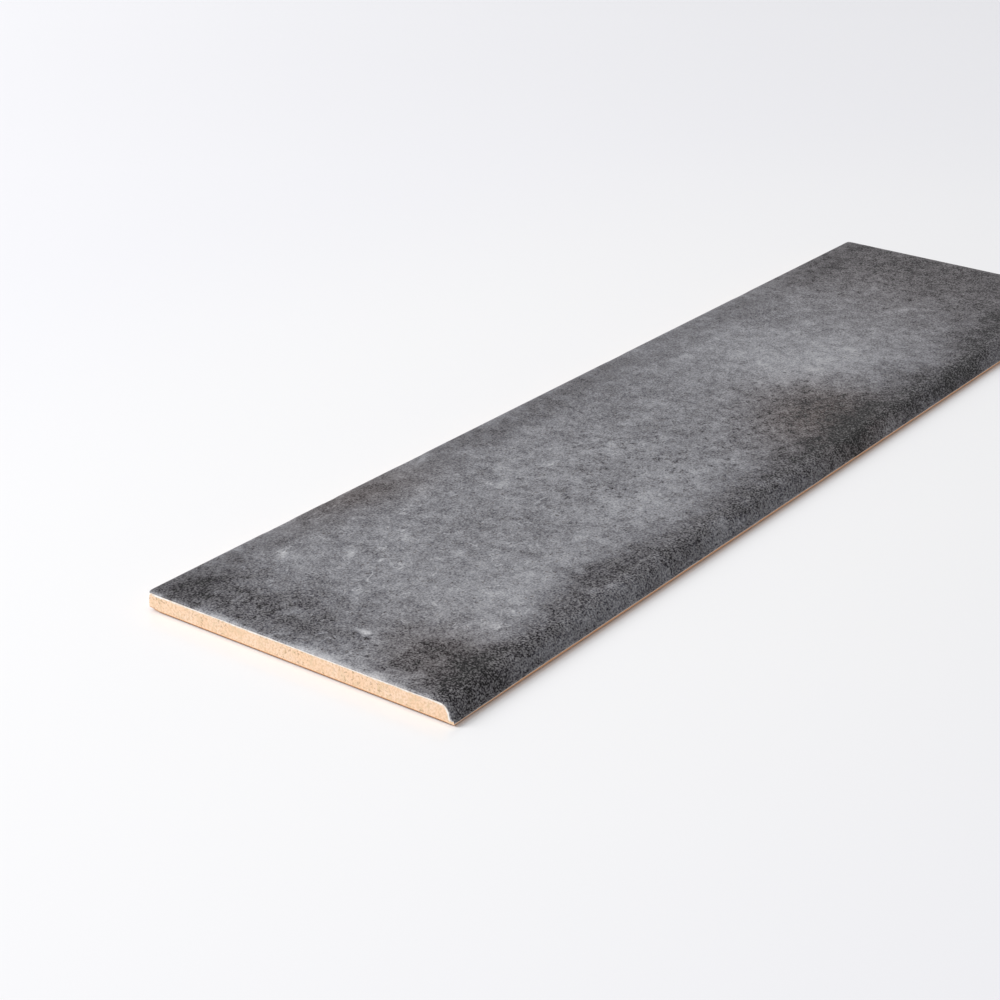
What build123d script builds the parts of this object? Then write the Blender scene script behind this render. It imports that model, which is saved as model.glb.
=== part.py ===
from build123d import *
import os
from math import radians, tan

# Bullnose wall tile, pressed, glazed and fired as one piece.
# The length runs along X, the rounded long edge faces -Y and the keyed back lies on Z = 0.

# Overall size, in millimetres
length = 600.0
width = 150.0
thickness = 8.5  # from the rim of the back to the glazed face

# Rounded long edge, from its foot up to the glazed face
lip_height = 1.8
lip_ledge = 1.1  # shelf from the lip's edge to the foot of the flank, before rounding
cove_radius = 1.2  # hollow between the lip and the flank
flank_lean = 20.0  # degrees from the vertical
nose_radius = 7.4  # roll of the flank into the glazed face

# Plain long side and both ends, where the glazed face falls away towards the edge
fall_length = 4.5
fall_drop = 0.6
fall_blend = 16.0  # radius between the level face and the fall
arris_radius = 0.45  # softened edge at the foot of the fall
foot_chamfer = 0.3

# Keyed back: a lattice of ribs that stands proud of the rim
rib_height = 0.5
rib_width = 3.0
rib_pitch = 21.0  # wanted spacing, evened out to fill the field
rib_margin = 8.0  # bare rim around the lattice

# Levels and corners of the cross-section, as points across (Y) and up (Z)
sharp = 0.0
rim_level = rib_height
ledge_level = rim_level + lip_height
face_level = rim_level + thickness
arris_level = face_level - fall_drop
lip_edge = -width / 2
plain_edge = width / 2
cove_corner = lip_edge + lip_ledge
nose_corner = cove_corner + (face_level - ledge_level) * tan(radians(flank_lean))

# Corners of the waste above the fall at an end, as points along (X) and up (Z)
end = length / 2
waste_start = end - fall_length - fall_blend
waste_end = end + thickness
waste_top = face_level + thickness

# Lattice: an even number of cells each way, so that a rib runs along both middle lines
field_length = length - 2 * rib_margin
field_width = width - 2 * rib_margin
cells_long = 2 * max(1, round((field_length - rib_width) / (2 * rib_pitch)))
cells_wide = 2 * max(1, round((field_width - rib_width) / (2 * rib_pitch)))
pitch_long = (field_length - rib_width) / cells_long
pitch_wide = (field_width - rib_width) / cells_wide

with BuildPart() as tile:
    # Cross-section with the bullnose and the fall of the plain side, run along the whole length
    with BuildSketch(Plane.YZ):
        with BuildLine():
            outer_line = FilletPolyline(
                (lip_edge, rim_level),
                (lip_edge, ledge_level),
                (cove_corner, ledge_level),
                (nose_corner, face_level),
                (plain_edge - fall_length, face_level),
                (plain_edge, arris_level),
                (plain_edge, rim_level),
                radius=(sharp, cove_radius, nose_radius, fall_blend, arris_radius),
            )
            Line(outer_line @ 1, outer_line @ 0)
        make_face()
    extrude(amount=end, both=True)

    # The same fall at both ends: the waste above it is cut off across the width, and runs out over the nose
    with BuildSketch(Plane.XZ):
        with BuildLine():
            end_line = FilletPolyline(
                (waste_start, face_level),
                (end - fall_length, face_level),
                (end, arris_level),
                (end, ledge_level),
                radius=(fall_blend, arris_radius),
            )
            Polyline(
                end_line @ 1,
                (waste_end, ledge_level),
                (waste_end, waste_top),
                (waste_start, waste_top),
                end_line @ 0,
            )
        make_face()
        mirror(about=Plane.YZ)
    extrude(amount=width, both=True, mode=Mode.SUBTRACT)

    rim = tile.faces().sort_by(Axis.Z)[0]
    chamfer(rim.edges(), length=foot_chamfer)

    # Rib lattice on the back, from the floor up to the rim
    with BuildSketch(Plane.XY):
        Rectangle(field_length, field_width)
        with GridLocations(pitch_long, pitch_wide, cells_long, cells_wide):
            Rectangle(pitch_long - rib_width, pitch_wide - rib_width, mode=Mode.SUBTRACT)
    extrude(amount=rib_height)

tile.part.label = "bullnose_tile"

os.makedirs("parts", exist_ok=True)
export_step(tile.part, "parts/bullnose_tile.step")
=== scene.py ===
from math import atan2, cos, degrees, radians, sin, tan

import bpy
import numpy as np
from mathutils import Matrix, Vector


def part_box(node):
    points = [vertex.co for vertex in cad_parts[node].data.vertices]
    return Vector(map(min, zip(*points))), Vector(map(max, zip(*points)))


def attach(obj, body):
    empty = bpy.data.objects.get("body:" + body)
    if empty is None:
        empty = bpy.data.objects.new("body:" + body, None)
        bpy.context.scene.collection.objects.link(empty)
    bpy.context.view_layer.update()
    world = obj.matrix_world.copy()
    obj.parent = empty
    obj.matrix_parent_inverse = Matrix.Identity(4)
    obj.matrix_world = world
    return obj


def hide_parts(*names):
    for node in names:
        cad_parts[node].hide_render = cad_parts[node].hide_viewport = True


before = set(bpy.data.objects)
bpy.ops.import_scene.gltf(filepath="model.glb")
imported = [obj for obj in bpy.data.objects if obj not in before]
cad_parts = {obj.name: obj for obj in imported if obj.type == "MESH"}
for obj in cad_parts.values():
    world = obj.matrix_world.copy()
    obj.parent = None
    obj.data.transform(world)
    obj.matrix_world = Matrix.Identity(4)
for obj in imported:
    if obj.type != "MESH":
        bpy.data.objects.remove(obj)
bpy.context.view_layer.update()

MM = 1000  # millimetres in a metre

# Sizes of the tile in millimetres, as in the part's source
LOW, HIGH = (MM * np.array(corner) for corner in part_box("bullnose_tile"))
END = HIGH[0]
LIP_EDGE, PLAIN_EDGE = LOW[1], HIGH[1]
FACE_LEVEL = HIGH[2]
RIM_LEVEL = 0.5  # height of the ribs, on which the tile stands
LIP_HEIGHT = 1.8
LIP_LEDGE = 1.1
COVE_RADIUS = 1.2
FLANK_LEAN = 20.0
NOSE_RADIUS = 7.4
FALL_LENGTH = 4.5
FALL_DROP = 0.6
FALL_BLEND = 16.0
ARRIS_RADIUS = 0.45
FOOT_CHAMFER = 0.3
RIB_WIDTH = 3.0
RIB_MARGIN = 8.0
CELLS_LONG, CELLS_WIDE = 28, 6

# Softening of edges that the solid has sharp
LIP_SOFT = 0.24
LIP_CORNER = 0.2
PLAIN_CORNER = (1.2, 1.0, 0.8, 0.5, 0.4, 0.4, 0.5)  # radius in plan, from the glazed edge down to the foot
FOOT_LIFT = 0.8  # curl of the foot at the plain corners
FOOT_LIFT_REACH = 6.0
CORNER_POWER = 3.0  # how sharply the falls of two sides meet
RIB_DRAFT = 0.25

# Mesh
GRID_STEP = 1.2
SHARP_ANGLE = 32.0
FIRST_CORNER = 9  # points of a loop that may lie on its rounded first corner

# Finish of the sides: how far the glaze laps over the edge, then a line of white engobe, then bare clay
LAP = 0.32
LAP_WAVER = 0.16
NOSE_LAP_LOSS = 0.8  # share of the lap that is lost where the face turns into the nose
NOSE_LAP_REACH = 6.0
COVE_LAP = 0.75
COVE_POOL_TOP, COVE_POOL_FULL = 3.0, 0.6  # below the face and above the ledge
ENGOBE = 0.5
CORNER_ENGOBE = 0.9
CORNER_START, CORNER_FULL = 58.0, 72.0  # from the middle line, where the engobe widens
LIP_GLAZE_SHARE = 0.25
LIP_GLAZE_AT_ENDS = 0.55
LIP_GLAZE_REACH = 60.0
LIP_GLAZE_WAVER = 0.2
LIP_ENGOBE_SHARE = 0.15
CLAY_SHARES = (0.4, 0.75, 0.93)  # rows of points between the engobe and the foot
LEAST_LAP, LEAST_ENGOBE = 0.05, 0.04
GLAZE_CLEAR, ENGOBE_CLEAR = 0.08, 0.05  # above the foot

# Broad clouds of the glaze: place along and across, half length, half width, turn in degrees, tone
BASE_TONE = 0.535
PATCHES = (
    (-288, 55, 26, 26, 10, -0.18),
    (-286, 8, 20, 26, -20, -0.13),
    (-268, -48, 20, 17, 30, -0.20),
    (-278, -68, 30, 14, 0, -0.07),
    (-176, 67, 34, 13, 0, -0.06),
    (-60, 66, 55, 13, 0, -0.05),
    (-97, -17, 12, 16, 15, -0.06),
    (-222, -10, 34, 80, 0, 0.05),
    (-218, -40, 40, 24, 0, 0.03),
    (-112, -42, 44, 18, 0, 0.03),
    (34, -50, 38, 32, 20, -0.185),
    (32, -64, 30, 14, 0, -0.07),
    (44, -30, 18, 14, 0, -0.05),
    (100, 0, 58, 34, -12, 0.08),
    (215, -52, 48, 24, 10, -0.10),
    (280, 10, 62, 90, 0, -0.18),
    (240, 60, 40, 20, 0, -0.03),
    (120, -65, 105, 13, 0, -0.07),
    (98, -10, 40, 18, -10, 0.05),
    (-292, -73, 16, 7, 0, -0.06),
    (-225, 30, 70, 70, 0, -0.025),
    (-288, -76, 45, 6, 0, -0.08),
    (-222, -66, 40, 11, 0, -0.05),
    (-298, -18, 9, 24, 0, 0.08),
    (-298, 32, 6, 12, 0, 0.05),
    (-293, 64, 6, 8, 0, -0.09),
    (-278, 60, 8, 6, 0, -0.07),
    (45, -33, 4, 3, 20, -0.16),
    (20, -20, 6, 3, 0, -0.09),
    (-97, 3, 5, 3, 0, -0.10),
    (-60, -48, 6, 3, 0, -0.10),
    (228, -55, 6, 5, 0, -0.13),
    (258, 60, 7, 3, 0, -0.08),
    (-115, 0, 35, 40, 0, 0.04),
    (-62, -38, 40, 22, 0, 0.04),
    (0, 40, 50, 30, 0, -0.02),
    (-22, -54, 28, 30, 0, -0.06),
    (125, -48, 30, 14, 0, -0.05),
)
# Where the glaze is brown, blotted or wispy: ovals as above, each with its strength
BROWN = (
    (34, -50, 42, 34, 20, 1.0),
    (285, 10, 110, 110, 0, 0.35),
    (-268, -48, 26, 22, 30, 0.5),
    (-176, 67, 40, 15, 0, 0.6),
)
BLOTS = (
    (-70, -12, 80, 42, 0, 0.8),
    (34, -45, 60, 40, 20, 1.0),
    (250, 20, 60, 80, 0, 0.8),
    (-280, 0, 24, 80, 0, 0.7),
)
WISPS = (
    (-215, 25, 80, 70, 0, 1.0),
    (-250, -20, 60, 60, 0, 0.9),
    (-90, 10, 70, 60, 0, 0.6),
    (110, 30, 130, 50, 0, 0.4),
)
# Bands along the long edges, partly darker glaze at the edges and partly painted shade on the upper nose,
# with a painted lighter band below it where the nose turns away from the lamp: where each starts and where it
# is full, across the section, and its tone
EDGE_TONE_AND_LIGHT_BANDS = ((44, 62, -0.05), (-48, -68, -0.18), (-65, -75, 0.16))
# Dents of the hand-smoothed face: ovals as above, with the depth in millimetres
DENTS = (
    (-275.5, -13.5, 4.6, 1.5, 78, 0.24),
    (-278.5, 17, 6.5, 3.6, -62, 0.10),
    (-242.5, 55, 3.4, 1.6, 48, 0.14),
    (-252, 9, 6.0, 2.0, 40, 0.09),
    (-226, 33, 5.5, 2.2, 22, 0.08),
    (-196, -1, 4.2, 1.8, 0, 0.10),
    (-247, -42, 3.0, 1.2, 20, 0.10),
    (-131, 70, 7.0, 1.6, 16, 0.12),
    (-128, 26, 5.5, 2.4, 0, 0.10),
    (-62, 12, 7.0, 2.4, 30, 0.10),
    (62, 48, 7.0, 2.6, -12, 0.10),
    (150, 22, 6.0, 2.4, 20, 0.10),
    (206, -8, 7.0, 2.4, -25, 0.10),
)
DENT_HIGHLIGHT = 1.3  # a dent is painted paler by this much for each millimetre of depth: a painted highlight in the dent
# Worn dips in the plain edge: place along, half length, depth in millimetres
EDGE_DIPS = ((-222, 8, 0.32), (-188, 4, 0.16), (-131, 9, 0.22), (40, 8, 0.2), (170, 7, 0.2))


def smooth(low, high, value):
    """0 at low and before it, 1 at high and past it, eased between them."""
    t = np.clip((value - low) / (high - low), 0, 1)
    return t * t * (3 - 2 * t)


def noise(u, v, seed):
    """Smooth noise between 0 and 1 over cells of size 1."""
    size = 256
    table = np.random.default_rng(seed).random((size, size))
    i, j = np.floor(u).astype(int), np.floor(v).astype(int)
    a, b = (t * t * t * (t * (t * 6 - 15) + 10) for t in (u - i, v - j))
    left, right = i % size, (i + 1) % size
    low, high = j % size, (j + 1) % size
    near = table[left, low] * (1 - a) + table[right, low] * a
    far = table[left, high] * (1 - a) + table[right, high] * a
    return near * (1 - b) + far * b


def clouds(u, v, seed, octaves=4, gain=0.5):
    """Layers of noise about 0.5, each with cells half as large as the one before, and shifted."""
    total, weight, height = np.zeros_like(u), 0.0, 1.0
    for k in range(octaves):
        total += height * noise(u * 2**k + 17.3 * k, v * 2**k + 5.1 * k, seed + k)
        weight += height
        height *= gain
    return total / weight


# Section of the glazed sheet: points across and up, with outward normals, from the lip to the plain edge

def run(start, end, count):
    """Points and normals along a straight stretch."""
    start, end = np.array(start), np.array(end)
    along = (end - start) / np.linalg.norm(end - start)
    share = np.linspace(0, 1, count + 1)[:, None]
    normal = np.array([-along[1], along[0]])
    return start + (end - start) * share, np.repeat(normal[None], count + 1, 0)


def turn(centre, radius, first, last, count, hollow=False):
    """Points and normals along an arc, from one angle in degrees to another."""
    angle = np.radians(np.linspace(first, last, count + 1))
    out = np.stack([np.cos(angle), np.sin(angle)], 1)
    return np.array(centre) + radius * out, -out if hollow else out


ledge = RIM_LEVEL + LIP_HEIGHT
lean = radians(FLANK_LEAN)
up_flank = np.array([sin(lean), cos(lean)])
half_turn = tan(radians(90 - FLANK_LEAN) / 2)
cove_corner = np.array([LIP_EDGE + LIP_LEDGE, ledge])
nose_corner = np.array([cove_corner[0] + (FACE_LEVEL - ledge) * tan(lean), FACE_LEVEL])
cove_start = cove_corner - [COVE_RADIUS * half_turn, 0]
cove_end = cove_corner + COVE_RADIUS * half_turn * up_flank
nose_start = nose_corner - NOSE_RADIUS * half_turn * up_flank
nose_end = nose_corner + [NOSE_RADIUS * half_turn, 0]
fall = atan2(FALL_DROP, FALL_LENGTH)
down_fall = np.array([cos(fall), -sin(fall)])
blend_reach = FALL_BLEND * tan(fall / 2)
arris_reach = ARRIS_RADIUS * tan((radians(90) - fall) / 2)
fall_corner = np.array([PLAIN_EDGE - FALL_LENGTH, FACE_LEVEL])
arris_corner = np.array([PLAIN_EDGE, FACE_LEVEL - FALL_DROP])
blend_start = fall_corner - [blend_reach, 0]
blend_end = fall_corner + blend_reach * down_fall
arris_start = arris_corner - arris_reach * down_fall
arris_end = arris_corner - [0, arris_reach]

bullnose = [
    turn((LIP_EDGE + LIP_SOFT, ledge - LIP_SOFT), LIP_SOFT, 180, 90, 3),
    run((LIP_EDGE + LIP_SOFT, ledge), cove_start, 1),
    turn(cove_start + [0, COVE_RADIUS], COVE_RADIUS, 270, 360 - FLANK_LEAN, 5, hollow=True),
    run(cove_end, nose_start, 3),
    turn(nose_end - [0, NOSE_RADIUS], NOSE_RADIUS, 180 - FLANK_LEAN, 90, 9),
]
level_face = [run(nose_end, blend_start, round((blend_start[0] - nose_end[0]) / GRID_STEP))]
plain_fall = [
    turn(blend_start - [0, FALL_BLEND], FALL_BLEND, 90, 90 - degrees(fall), 4),
    run(blend_end, arris_start, 3),
    turn(arris_end - [ARRIS_RADIUS, 0], ARRIS_RADIUS, 90 - degrees(fall), 0, 5),
]


def steps_in(stretches):
    return sum(len(s[0]) - 1 for s in stretches)


stretches = bullnose + level_face + plain_fall
section, normals = (
    np.concatenate([stretches[0][part]] + [s[part][1:] for s in stretches[1:]]) for part in (0, 1)
)
SECTION = len(section)
fall_points = steps_in(plain_fall) + 1
first_on_flank = steps_in(bullnose[:3]) + 1
across = np.concatenate([[0], np.cumsum(np.linalg.norm(np.diff(section, axis=0), axis=1))])
across += blend_start[0] - across[-fall_points]  # equal to Y on the level face, and runs on round the nose

# Both ends fall away as the plain side does, so its points set the columns there
inset, dropped = (np.array([PLAIN_EDGE, FACE_LEVEL]) - section[-fall_points:]).T
inner = END - inset[0]
middle = np.linspace(-inner, inner, round(2 * inner / GRID_STEP) + 1)
columns = np.concatenate([inset[:0:-1] - END, middle, END - inset[1:]])
COLUMNS = len(columns)
from_end = END - np.abs(columns)
end_drop = np.interp(from_end, inset[::-1], dropped[::-1])


def rounding(radius):
    """How far an edge of this radius has dropped at each column."""
    a = np.minimum(from_end[:, None], radius)
    return radius - np.sqrt(np.maximum(radius**2 - (radius - a) ** 2, 0))


# Glaze: tone and relief over the sheet, with X along the tile and S the way across the section

def spot(grid, x, s, length, width, angle):
    """How far each point of a grid is from the middle of an oval, in half sizes."""
    turn_cos, turn_sin = cos(radians(angle)), sin(radians(angle))
    dx, ds = grid[0] - x, grid[1] - s
    return np.hypot((dx * turn_cos + ds * turn_sin) / length, (ds * turn_cos - dx * turn_sin) / width)


def soft_ovals(grid, ovals):
    """Sum of ovals with soft edges, each with its own strength."""
    return sum(strength * np.exp(-(spot(grid, *place) ** 2)) for *place, strength in ovals)


X, S = np.meshgrid(columns, across, indexing="ij")

# The clouds have uneven outlines, because they are placed on a grid that noise pushes about
push_x, push_s = (22 * (clouds(X / 48, S / 48, seed) - 0.5) for seed in (11, 31))
uneven = (X + push_x, S + push_s)
tone = BASE_TONE + soft_ovals(uneven, PATCHES)
brown, blots, wisps = (soft_ovals(uneven, ovals) for ovals in (BROWN, BLOTS, WISPS))
# Painted shade and painted light on the nose, over the glaze's darker edges
for start, full, depth in EDGE_TONE_AND_LIGHT_BANDS:
    tone += depth * smooth(start, full, uneven[1])
tone += 0.11 * (clouds(X / 30, S / 24, seed=51, octaves=5, gain=0.62) - 0.5)

# Trowel marks: thin ridges that run mostly along the tile, painted pale, partly paler glaze and partly a
# painted highlight on the ridges
slant = radians(18) + 0.9 * (clouds(X / 70, S / 70, seed=71) - 0.5)
along = X * np.cos(slant) + S * np.sin(slant)
over = S * np.cos(slant) - X * np.sin(slant)
ridge = (1 - np.abs(2 * noise(along / 15, over / 5.5, seed=81) - 1)) ** 5
marks = ridge * smooth(0.50, 0.68, clouds(X / 26, S / 20, seed=91, octaves=3))
# Painted pale: partly paler glaze, partly a painted highlight on the ridges
tone += 0.07 * marks

# Relief, as a depth below the solid's face, which dies out towards the edges
relief = 0.16 * clouds(X / 42, S / 36, seed=101, octaves=3)
relief += 0.05 * clouds(X / 7, S / 6, seed=111, octaves=3) - 0.05 * marks
for *place, depth in DENTS:
    away = spot((X, S), *place)
    relief += depth * np.exp(-(away**4))
    # Painted highlight: each dent is painted paler
    tone += DENT_HIGHLIGHT * depth * np.exp(-(away**2))
relief -= relief.min()
relief *= smooth(across[0], across[first_on_flank], S) * smooth(PLAIN_EDGE, PLAIN_EDGE - 4, S)
relief *= smooth(0.3, 4.0, from_end)[:, None]

to_plain = np.maximum(across[-1] - S, 0)
worn = smooth(0.0, 0.5, to_plain) * smooth(6.0, 1.5, to_plain)
for x, length, depth in EDGE_DIPS:
    relief += depth * np.exp(-(((X - x) / length) ** 4)) * worn

# The glaze is painted pale on the falls, most of all along the edges of the ends: partly thin glaze, and
# partly a painted highlight where the rounded arris catches the light
patchy = smooth(0.38, 0.62, clouds(X / 16, S / 11, seed=121, octaves=3))
thin_and_highlight = np.zeros_like(X)
for to_edge, share in ((from_end[:, None], 1.0), (to_plain, 0.3)):
    pale_and_highlight = 0.75 * smooth(4.2, 0.8, to_edge) * patchy + 0.6 * smooth(1.1, 0.1, to_edge)
    thin_and_highlight = np.maximum(thin_and_highlight, share * pale_and_highlight)

# Mesh, as one list of points and one of faces, with a material and a place on the bake map for each face
points, faces, finish, layout = [], [], [], []
GLAZE, WHITE, CLAY = range(3)
ON_SHEET, ON_LIP, ON_RIGHT, ON_PLAIN, ON_LEFT, ON_BACK = range(6)


def add_points(block):
    """Adds points to the mesh and gives their numbers."""
    start = sum(len(earlier) for earlier in points)
    points.append(block)
    return np.arange(start, start + len(block))


def add_face(corners, material, place):
    faces.append(tuple(int(corner) for corner in corners))
    finish.append(material)
    layout.append(place)


def add_band(first, second, material, places):
    """Faces between two closed loops with as many points."""
    for m, place in enumerate(places):
        n = (m + 1) % len(first)
        add_face((first[m], second[m], second[n], first[n]), material, place)


# Sheet: the drop of the section and that of the ends, joined smoothly at the corners
tuck = PLAIN_CORNER[0]
shift = rounding(tuck) * np.maximum(1 - (PLAIN_EDGE - section[None, :, 0]) / (2 * tuck), 0)
shift += rounding(LIP_CORNER) * np.maximum(1 - (section[None, :, 0] - LIP_EDGE) / (6 * LIP_CORNER), 0)
section_drop = FACE_LEVEL - section[:, 1]
drop = (section_drop[None, :] ** CORNER_POWER + end_drop[:, None] ** CORNER_POWER) ** (1 / CORNER_POWER)
sheet = np.empty((COLUMNS, SECTION, 3))
sheet[..., 0] = columns[:, None]
sheet[..., 1] = section[None, :, 0] - normals[None, :, 0] * relief
sheet[..., 1] -= shift * np.sign(section[None, :, 0])
sheet[..., 2] = FACE_LEVEL - drop - normals[None, :, 1] * relief
on_grid = add_points(sheet.reshape(-1, 3)).reshape(COLUMNS, SECTION)
quads = np.stack([on_grid[:-1, :-1], on_grid[1:, :-1], on_grid[1:, 1:], on_grid[:-1, 1:]], -1)
for quad in quads.reshape(-1, 4):
    add_face(quad, GLAZE, ON_SHEET)

# Skirt round the sheet: lip, right end, plain side, left end, in rows from the glaze down to the foot
foot = RIM_LEVEL + FOOT_CHAMFER
last_i, last_j = COLUMNS - 1, SECTION - 1
edge = [(i, 0, ON_LIP) for i in range(last_i)]
edge += [(last_i, j, ON_RIGHT) for j in range(last_j)]
edge += [(i, last_j, ON_PLAIN) for i in range(last_i, 0, -1)]
edge += [(0, j, ON_LEFT) for j in range(last_j, 0, -1)]
ring_i, ring_j, side = np.array(edge).T
ring = sheet[ring_i, ring_j]
RING = len(edge)
on_ends = (ring_i == 0) | (ring_i == last_i)
plain_rows = ring_j == last_j
lip_rows = ring_j == 0

# Depth of the glaze's lap and of the engobe below it, with noise that is not the same on any two sides
walk = np.where(on_ends, ring[:, 1] + 400 * np.sign(ring[:, 0]), ring[:, 0])
waver = clouds(walk / 14, np.full(RING, 0.5), seed=131, octaves=4, gain=0.6) - 0.5
lap = LAP + 2 * LAP_WAVER * waver
lap *= 1 - NOSE_LAP_LOSS * np.exp(-(((ring[:, 1] - nose_end[0]) / NOSE_LAP_REACH) ** 2))
pool = smooth(FACE_LEVEL - COVE_POOL_TOP, ledge + COVE_POOL_FULL, ring[:, 2]) * (ring[:, 1] < 0)
lap += (COVE_LAP - lap) * pool
line = ENGOBE * (1.1 + 1.6 * (clouds(walk / 9, np.full(RING, 3.5), seed=141, octaves=3) - 0.5))
line += (CORNER_ENGOBE - line) * smooth(CORNER_START, CORNER_FULL, np.abs(ring[:, 1]))


def under(depth):
    """Height of the line that lies this deep inside the outline of an end, at each point of the ring."""
    found = ring[:, 2] - depth
    for i in (0, last_i):
        mine = np.where(on_ends & (ring_i == i) & ~plain_rows)[0]
        mine = mine[np.argsort(ring_j[mine])]
        y = ring[mine, 1] - normals[ring_j[mine], 0] * depth[mine]
        z = ring[mine, 2] - normals[ring_j[mine], 1] * depth[mine]
        found[mine] = np.interp(ring[mine, 1], np.maximum.accumulate(y), z)
    return np.minimum(found, ring[:, 2] - LEAST_LAP)


glaze_foot = under(lap)
engobe_foot = np.minimum(under(lap + line), glaze_foot - LEAST_ENGOBE)
lip_depth = ring[:, 2] - foot
near_end = smooth(END - LIP_GLAZE_REACH, END, np.abs(ring[:, 0]))
lip_glaze = LIP_GLAZE_SHARE + (LIP_GLAZE_AT_ENDS - LIP_GLAZE_SHARE) * near_end
lip_glaze += LIP_GLAZE_WAVER * waver
glaze_foot = np.where(lip_rows, ring[:, 2] - lip_depth * lip_glaze, glaze_foot)
engobe_foot = np.where(lip_rows, ring[:, 2] - lip_depth * (lip_glaze + LIP_ENGOBE_SHARE), engobe_foot)
glaze_foot = np.maximum(glaze_foot, foot + GLAZE_CLEAR)
engobe_foot = np.maximum(engobe_foot, foot + ENGOBE_CLEAR)

along_plain = np.where(plain_rows, from_end[ring_i], FOOT_LIFT_REACH)
from_corner = np.where(on_ends, PLAIN_EDGE - ring[:, 1], along_plain)
lift = FOOT_LIFT * smooth(FOOT_LIFT_REACH, 0, from_corner)
levels = [glaze_foot, engobe_foot]
levels += [engobe_foot + (foot + lift - engobe_foot) * share for share in CLAY_SHARES]
levels.append(foot + lift)

rows = [on_grid[ring_i, ring_j]]
for radius, level in zip(PLAIN_CORNER[1:], levels):
    loop = ring.copy()
    loop[:, 2] = level
    loop[plain_rows, 1] = PLAIN_EDGE - rounding(radius)[ring_i[plain_rows], 0]
    rows.append(add_points(loop))
rim = loop.copy()
rim[:, 0] *= 1 - FOOT_CHAMFER / END
rim[:, 1] *= 1 - FOOT_CHAMFER / PLAIN_EDGE
rim[:, 2] = RIM_LEVEL + lift
rows.append(add_points(rim))
FOOT_ROW, RIM_ROW = len(rows) - 2, len(rows) - 1

for k in range(RIM_ROW):
    material = (GLAZE, WHITE, CLAY)[min(k, 2)]
    add_band(rows[k], rows[k + 1], material, side if k < FOOT_ROW else [ON_BACK] * RING)

# Keyed back: ribs on the floor, pans up at the rim's level, with a little draft on the walls
field = np.array([END - RIB_MARGIN, PLAIN_EDGE - RIB_MARGIN])


def rib_lines(half, cells):
    """Both sides of each rib, from one edge of the lattice to the other."""
    pitch = (2 * half - RIB_WIDTH) / cells
    starts = -half + pitch * np.arange(cells + 1)
    return np.stack([starts, starts + RIB_WIDTH], 1).ravel()


lines_x = rib_lines(field[0], CELLS_LONG)
lines_y = rib_lines(field[1], CELLS_WIDE)
wide, deep = len(lines_x), len(lines_y)
lattice = np.stack(np.meshgrid(lines_x, lines_y, [0.0], indexing="ij"), -1).reshape(-1, 3)
ribs = add_points(lattice).reshape(wide, deep)

for i in range(wide - 1):
    for j in range(deep - 1):
        corners = (ribs[i, j], ribs[i, j + 1], ribs[i + 1, j + 1], ribs[i + 1, j])
        if i % 2 == 0 or j % 2 == 0:
            add_face(corners, CLAY, ON_BACK)
            continue
        x0, x1 = lines_x[i] + RIB_DRAFT, lines_x[i + 1] - RIB_DRAFT
        y0, y1 = lines_y[j] + RIB_DRAFT, lines_y[j + 1] - RIB_DRAFT
        outline = ((x0, y0), (x0, y1), (x1, y1), (x1, y0))
        pan = add_points(np.array([(x, y, RIM_LEVEL) for x, y in outline]))
        add_face(pan, CLAY, ON_BACK)
        add_band(pan, corners, CLAY, [ON_BACK] * len(pan))

hem = [(i, 0) for i in range(wide - 1)] + [(wide - 1, j) for j in range(deep - 1)]
hem += [(i, deep - 1) for i in range(wide - 1, 0, -1)] + [(0, j) for j in range(deep - 1, 0, -1)]
collar = np.array([[lines_x[i], lines_y[j], RIM_LEVEL] for i, j in hem])
collar[:, :2] *= 1 + RIB_DRAFT / field
collar_row = add_points(collar)
add_band(collar_row, [ribs[i, j] for i, j in hem], CLAY, [ON_BACK] * len(hem))


def way_round(loop):
    """How far round a long rectangle each point lies, from 0 at the first corner to 4 back there."""
    half = np.abs(loop[:, :2]).max(0)
    u, v = ((loop[:, :2] / half + 1) / 2).T
    nearest = np.argmin(np.stack([v, 1 - u, 1 - v, u], 1), 1)
    way = np.stack([u, 1 + v, 3 - u, 4 - v], 1)[np.arange(len(loop)), nearest]
    way[:FIRST_CORNER] -= 4 * (way[:FIRST_CORNER] > 3)
    return np.append(np.maximum.accumulate(way), 4.0)


def zip_loops(outer, inner, outer_points, inner_points):
    """Triangles between two loops that go round the same way and start at the same corner."""
    a, b = way_round(outer_points), way_round(inner_points)
    i = j = 0
    while i < len(outer) or j < len(inner):
        step_outer = j >= len(inner) or (i < len(outer) and a[i + 1] <= b[j + 1])
        here, there = outer[i % len(outer)], inner[j % len(inner)]
        if step_outer:
            i += 1
            following = outer[i % len(outer)]
        else:
            j += 1
            following = inner[j % len(inner)]
        add_face((here, there, following), CLAY, ON_BACK)


zip_loops(rows[RIM_ROW], collar_row, rim, collar)

vertices = np.concatenate(points) / MM
mesh = bpy.data.meshes.new("bullnose_tile_fired")
mesh.from_pydata(vertices.tolist(), [], faces)
mesh.polygons.foreach_set("material_index", finish)
mesh.polygons.foreach_set("use_smooth", [True] * len(faces))
mesh.set_sharp_from_angle(angle=radians(SHARP_ANGLE))


def mark(name, over_sheet=None, by_row=None):
    """Stores a value for each point. The skirt takes that of the sheet's edge above it, or its own by row."""
    whole = np.zeros(len(vertices))
    if over_sheet is not None:
        whole[on_grid] = over_sheet
        for row in rows[1:]:
            whole[row] = over_sheet[ring_i, ring_j]
    for k, values in (by_row or {}).items():
        whole[rows[k]] = values
    mesh.attributes.new(name, "FLOAT", "POINT").data.foreach_set("value", whole)


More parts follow.
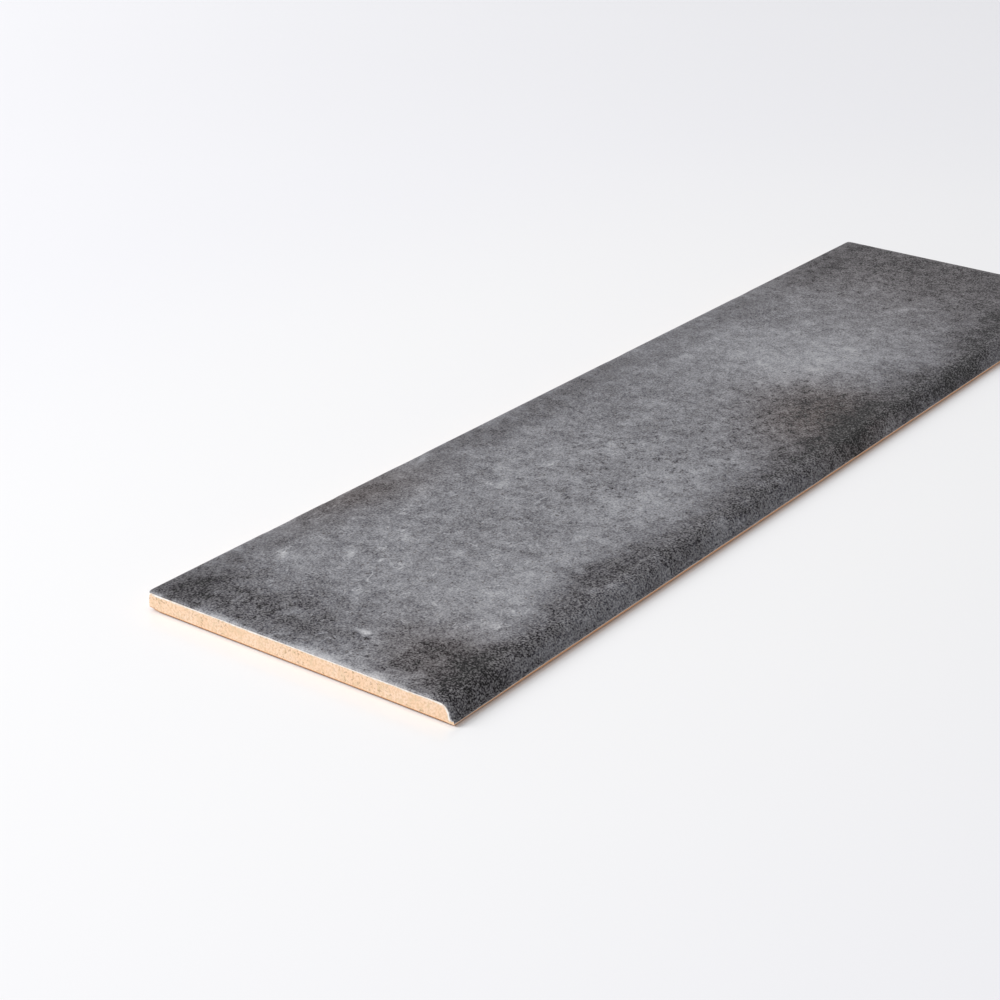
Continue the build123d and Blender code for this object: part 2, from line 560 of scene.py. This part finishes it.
# Painted shade on the clay, 1 for brown and 2 for dark: all over the lip, which stands in shade, and a
# painted shadow along the foot of every side, where the gap under the rim is dark
painted_clay_shade = {k: 1.0 * lip_rows for k in range(2, FOOT_ROW)}
painted_clay_shade[FOOT_ROW] = np.where(lip_rows, 1.1, 1.65)
painted_clay_shade[RIM_ROW] = np.where(lip_rows, 1.0, 1.5)

mark("glaze_tone", tone)
mark("glaze_brown", np.clip(brown, 0, 1))
mark("glaze_thin_and_highlight", np.clip(thin_and_highlight, 0, 1))
mark("glaze_cut", by_row={1: pool * on_ends})
mark("glaze_blots", np.clip(blots, 0, 1))
mark("glaze_wisps", np.clip(wisps, 0, 1) * smooth(-70, -60, S))
mark("glaze_coarse", smooth(-58, -68, S) - 0.7 * smooth(48, 68, S))
mark("clay_painted_shade", by_row=painted_clay_shade)

tile = bpy.data.objects.new("bullnose_tile_fired", mesh)
bpy.context.scene.collection.objects.link(tile)


# Materials

class Net:
    """Short ways to add and join nodes."""

    def __init__(self, tree):
        self.tree = tree

    def new(self, kind):
        return self.tree.nodes.new("ShaderNode" + kind)

    def node(self, kind, **inputs):
        made = self.new(kind)
        for name, value in inputs.items():
            self.set(made.inputs[name.replace("_", " ")], value)
        return made

    def set(self, socket, value):
        if isinstance(value, bpy.types.NodeSocket):
            self.tree.links.new(value, socket)
        else:
            socket.default_value = value

    def math(self, operation, a, b=0.0, c=0.0):
        made = self.new("Math")
        made.operation = operation
        for socket, value in zip(made.inputs, (a, b, c)):
            self.set(socket, value)
        return made.outputs[0]

    def times(self, a, b):
        return self.math("MULTIPLY", a, b)

    def sum(self, first, *more):
        for value in more:
            first = self.math("ADD", first, value)
        return first

    def attribute(self, name):
        made = self.new("Attribute")
        made.attribute_name = name
        return made.outputs["Fac"]

    def millimetres(self):
        made = self.new("VectorMath")
        made.operation = "SCALE"
        self.set(made.inputs[0], self.new("TexCoord").outputs["Object"])
        made.inputs["Scale"].default_value = MM
        return made.outputs[0]

    def noise(self, vector, scale, detail=2.0, roughness=0.5, distortion=0.0):
        made = self.node("TexNoise", Vector=vector, Scale=scale, Detail=detail, Roughness=roughness)
        made.inputs["Distortion"].default_value = distortion
        return made.outputs["Fac"]

    def ease(self, value, low, high, first=0.0, last=1.0):
        """From first to last as the value goes from low to high."""
        made = self.new("MapRange")
        made.interpolation_type = "SMOOTHSTEP"
        for socket, number in zip(made.inputs, (value, low, high, first, last)):
            self.set(socket, number)
        return made.outputs["Result"]

    def ramp(self, value, stops):
        made = self.node("ValToRGB", Fac=value)
        elements = made.color_ramp.elements
        while len(elements) < len(stops):
            elements.new(0.5)
        for element, (position, colour) in zip(elements, stops):
            element.position = position
            element.color = (*colour, 1.0)
        return made.outputs["Color"]

    def mix(self, share, first, second, blend="MIX"):
        made = self.new("Mix")
        made.data_type = "RGBA"
        made.blend_type = blend
        self.set(made.inputs["Factor"], share)
        for name, value in (("A", first), ("B", second)):
            socket = [s for s in made.inputs if s.name == name and s.type == "RGBA"][0]
            self.set(socket, value if isinstance(value, bpy.types.NodeSocket) else (*value, 1.0))
        return [s for s in made.outputs if s.type == "RGBA"][0]

    def bump(self, height, strength, depth):
        """Bump with its depth in millimetres."""
        return self.node("Bump", Height=height, Strength=strength, Distance=depth / MM).outputs["Normal"]

    def background_rays(self):
        """1 for rays that show the background: to the camera, off a glossy surface or through glass."""
        path = self.new("LightPath").outputs
        indirect = self.math("MAXIMUM", path["Is Glossy Ray"], path["Is Transmission Ray"])
        return self.math("MAXIMUM", path["Is Camera Ray"], indirect)

    def surface(self, **inputs):
        shader = self.node("BsdfPrincipled", **inputs)
        self.set(self.new("OutputMaterial").inputs["Surface"], shader.outputs["BSDF"])


def new_material(name):
    material = bpy.data.materials.new(name)
    material.use_nodes = True
    material.node_tree.nodes.clear()
    return material, Net(material.node_tree)


def glaze():
    material, net = new_material("glaze_charcoal")
    place = net.millimetres()
    mottle = net.noise(place, 0.15, 3.0, 0.55)
    grain = net.noise(place, 1.3, 1.0, 0.5)
    pits = net.ease(net.noise(place, 0.75, 2.0, 0.6), 0.40, 0.28)
    blots = net.ease(net.noise(place, 0.30, 3.0, 0.65), 0.44, 0.33)
    blots = net.times(blots, net.attribute("glaze_blots"))

    # Wisps: crests of a stretched noise, where another noise and the attribute let them show; they are raised
    # by the bump and painted paler, partly paler glaze and partly a painted highlight
    stretched = net.node("Mapping", Vector=place, Rotation=(0.0, 0.0, -0.35), Scale=(0.09, 0.17, 0.17))
    crest = net.noise(stretched.outputs["Vector"], 1.0, 1.0, 0.5, distortion=1.0)
    crest = net.ease(net.math("ABSOLUTE", net.math("SUBTRACT", crest, 0.5)), 0.05, 0.0)
    crest = net.times(crest, net.ease(net.noise(place, 0.11, 2.0), 0.54, 0.66))
    crest = net.times(crest, net.attribute("glaze_wisps"))

    level = net.attribute("glaze_tone")
    mottle_depth = net.ease(level, 0.30, 0.55, 0.48, 0.29)
    tone = net.sum(
        level,
        net.times(net.math("SUBTRACT", mottle, 0.5), mottle_depth),
        net.times(pits, -0.15),
        net.times(blots, -0.22),
        # Paler crests: partly paler glaze, partly a painted highlight
        net.times(crest, 0.16),
        # Paler where the glaze is thin, and a painted highlight along the rounded arris
        net.times(net.attribute("glaze_thin_and_highlight"), 0.19),
        net.times(net.attribute("glaze_cut"), 0.30),
    )
    charcoals = (
        (0.16, (0.018, 0.0168, 0.0172)),
        (0.30, (0.063, 0.0595, 0.0642)),
        (0.42, (0.126, 0.1225, 0.131)),
        (0.52, (0.198, 0.197, 0.212)),
        (0.64, (0.328, 0.330, 0.351)),
        (0.82, (0.56, 0.56, 0.58)),
    )
    colour = net.ramp(tone, charcoals)
    warm = net.math("MAXIMUM", net.attribute("glaze_brown"), net.times(pits, 0.6))
    colour = net.mix(warm, colour, net.mix(1.0, colour, (1.0, 0.89, 0.80), "MULTIPLY"))

    # Fine grain, added to the colour and kept off pure black
    grit = net.math("MULTIPLY_ADD", net.attribute("glaze_coarse"), 0.22, 0.52)
    grit = net.times(net.math("SUBTRACT", grain, 0.5), grit)
    grit = net.node("CombineXYZ", X=grit, Y=grit, Z=grit).outputs[0]
    darkest = (0.006, 0.006, 0.006)
    colour = net.mix(1.0, net.mix(1.0, colour, grit, "ADD"), darkest, "LIGHTEN")
    height = net.sum(net.times(grain, 0.7), net.times(pits, -0.5), net.times(crest, 1.2))
    net.surface(
        Base_Color=colour,
        Roughness=net.ease(tone, 0.25, 0.75, 0.52, 0.64),
        Specular_IOR_Level=0.09,
        Normal=net.bump(height, 0.6, 0.08),
    )
    return material


def engobe():
    material, net = new_material("engobe_white")
    place = net.millimetres()
    patch = net.noise(place, 0.5, 3.0, 0.6)
    net.surface(
        Base_Color=net.mix(net.ease(patch, 0.35, 0.65), (0.80, 0.70, 0.60), (0.90, 0.87, 0.83)),
        Roughness=0.7,
        Specular_IOR_Level=0.3,
        Normal=net.bump(net.noise(place, 2.0, 2.0), 0.4, 0.05),
    )
    return material


def clay():
    material, net = new_material("clay_buff")
    place = net.millimetres()
    body = net.noise(place, 0.12, 4.0, 0.6)
    sand = net.noise(place, 1.0, 2.0, 0.6)
    specks = net.ease(net.noise(place, 0.8, 1.0, 0.5), 0.45, 0.31)
    specks = net.times(specks, net.ease(net.noise(place, 0.09, 2.0), 0.42, 0.60, 0.06, 1.0))
    smears = net.ease(net.noise(place, 0.28, 3.0, 0.6), 0.48, 0.68)
    shade_on_clay = net.attribute("clay_painted_shade")
    colour = net.mix(net.ease(body, 0.3, 0.7), (0.94, 0.665, 0.47), (0.96, 0.725, 0.56))
    colour = net.mix(net.ease(sand, 0.34, 0.60, 0.75, 0.0), colour, (0.76, 0.52, 0.31))
    colour = net.mix(net.times(smears, 0.6), colour, (0.74, 0.56, 0.36))
    colour = net.mix(net.times(specks, 0.6), colour, (0.40, 0.26, 0.14))
    # Painted shade: browner over the lip, and dark along the foot as a painted shadow of the gap under the
    # rim
    colour = net.mix(net.ease(shade_on_clay, 0.0, 1.0), colour, (0.74, 0.40, 0.21))
    colour = net.mix(net.ease(shade_on_clay, 1.0, 2.0), colour, (0.20, 0.085, 0.04))
    height = net.math("SUBTRACT", sand, net.times(specks, 0.6))
    net.surface(
        Base_Color=colour,
        Roughness=0.92,
        Specular_IOR_Level=0.15,
        Normal=net.bump(height, 0.6, 0.12),
    )
    return material


for material in (glaze(), engobe(), clay()):
    mesh.materials.append(material)

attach(tile, "root")
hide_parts("bullnose_tile")

# Map for the bake: both halves of the face above each other, then the back, with the sides beside them
MAP = 1024.0
FINE, COARSE = 2.6, 1.2  # map units to a millimetre
GAP = 6.0
STRIP = 34.0
sheet_high = FINE * (across[-1] - across[0]) + GAP
strips_start = FINE * END + 3 * GAP
loop_vertices = np.concatenate([np.array(f) for f in faces])
loop_counts = np.array([len(f) for f in faces])
loop_places = np.repeat(np.array(layout), loop_counts)
firsts = np.repeat(np.array([min(f) for f in faces]), loop_counts)
spots = MM * vertices[loop_vertices]
uv = np.zeros((len(loop_vertices), 2))

on_sheet = loop_places == ON_SHEET
right_half = firsts // SECTION >= COLUMNS // 2
half_start = np.where(right_half, columns[COLUMNS // 2], -END)
up_sheet = across[loop_vertices[on_sheet] % SECTION] - across[0]
uv[on_sheet, 0] = GAP + FINE * (spots[:, 0] - half_start)[on_sheet]
uv[on_sheet, 1] = GAP + FINE * up_sheet + sheet_high * right_half[on_sheet]

on_back = loop_places == ON_BACK
uv[on_back, 0] = GAP + COARSE * (spots[on_back, 0] + END)
uv[on_back, 1] = 2 * sheet_high + 2 * GAP + COARSE * (spots[on_back, 1] + PLAIN_EDGE)

end_scale, side_scale = FINE, (2 * sheet_high - GAP) / (2 * END)
strips = (
    (ON_LEFT, 1, PLAIN_EDGE, end_scale),
    (ON_RIGHT, 1, PLAIN_EDGE, end_scale),
    (ON_PLAIN, 0, END, side_scale),
    (ON_LIP, 0, END, side_scale),
)
for k, (place, axis, half, scale) in enumerate(strips):
    mine = loop_places == place
    uv[mine, 0] = strips_start + STRIP * k + FINE * spots[mine, 2]
    uv[mine, 1] = GAP + scale * (spots[mine, axis] + half)
mesh.uv_layers.new(name="OFBake").uv.foreach_set("vector", (uv / MAP).astype(np.float32).ravel())

# Floor, world and lamp, in metres
FLOOR_REACH = 8.0
floor_corners = [(x * FLOOR_REACH, y * FLOOR_REACH, 0) for x, y in ((-1, -1), (1, -1), (1, 1), (-1, 1))]
floor_mesh = bpy.data.meshes.new("floor")
floor_mesh.from_pydata(floor_corners, [], [(0, 1, 2, 3)])
floor = bpy.data.objects.new("floor", floor_mesh)
bpy.context.scene.collection.objects.link(floor)


def floor_paper():
    material, net = new_material("floor_white")
    round_tile = net.node(
        "Mapping", Vector=net.millimetres(), Location=(20.0, -20.0, 0.0), Scale=(0.5, 1.0, 1.0)
    )
    length = net.new("VectorMath")
    length.operation = "LENGTH"
    net.set(length.inputs[0], round_tile.outputs["Vector"])
    away = length.outputs["Value"]
    # Painted shade: the floor is painted greyer and bluer away from the tile, as light falling off
    colour = net.mix(net.ease(away, 130.0, 420.0), (0.975, 0.975, 0.985), (0.94, 0.94, 0.975))
    glow = net.ease(away, 500.0, 2500.0, 0.0, 0.19)
    net.surface(
        Base_Color=colour,
        Roughness=0.16,
        Specular_IOR_Level=0.5,
        Emission_Color=colour,
        Emission_Strength=net.times(net.background_rays(), glow),
    )
    return material


floor_mesh.materials.append(floor_paper())

WORLD_LIGHT = 0.455
world = bpy.data.worlds.new("studio")
world.use_nodes = True
world.node_tree.nodes.clear()
bpy.context.scene.world = world
net = Net(world.node_tree)
soft = net.node("Background", Color=(1.0, 1.0, 1.0, 1.0), Strength=WORLD_LIGHT)
wall = net.node("Background", Color=(0.90, 0.90, 0.93, 1.0), Strength=1.0)
either = net.node("MixShader", Fac=net.background_rays())
net.set(either.inputs[1], soft.outputs[0])
net.set(either.inputs[2], wall.outputs[0])
net.set(net.new("OutputWorld").inputs["Surface"], either.outputs[0])

KEY_DIRECTION = Vector((-0.53, 0.59, 0.61))
KEY_DISTANCE = 3.6
key_data = bpy.data.lights.new("key", "AREA")
key_data.shape = "SQUARE"
key_data.size = 1.8
key_data.energy = 106.0
key = bpy.data.objects.new("key", key_data)
key.location = KEY_DIRECTION.normalized() * KEY_DISTANCE
key.rotation_euler = (-KEY_DIRECTION).to_track_quat("-Z", "Y").to_euler()
bpy.context.scene.collection.objects.link(key)

# Camera: fitted to the tile's edges in the photograph, in millimetres and degrees
LENS = 78.43
SENSOR = 36.0
CAMERA_PLACE = Vector((-852.2, -474.68, 394.14)) / MM
YAW, PITCH, ROLL = radians(34.717), radians(24.052), radians(1.677)
ahead = Vector((cos(YAW) * cos(PITCH), sin(YAW) * cos(PITCH), -sin(PITCH)))
sideways = Vector((sin(YAW), -cos(YAW), 0.0))
above = sideways.cross(ahead)
right = cos(ROLL) * sideways + sin(ROLL) * above
upward = cos(ROLL) * above - sin(ROLL) * sideways
camera_data = bpy.data.cameras.new("camera")
camera_data.lens = LENS
camera_data.sensor_width = SENSOR
camera_data.clip_start = 0.05
camera = bpy.data.objects.new("camera", camera_data)
facing = Matrix((right, upward, -ahead)).transposed().to_4x4()
camera.matrix_world = Matrix.Translation(CAMERA_PLACE) @ facing
bpy.context.scene.collection.objects.link(camera)
bpy.context.scene.camera = camera

bpy.context.scene.view_settings.view_transform = "Standard"

bpy.context.view_layer.update()
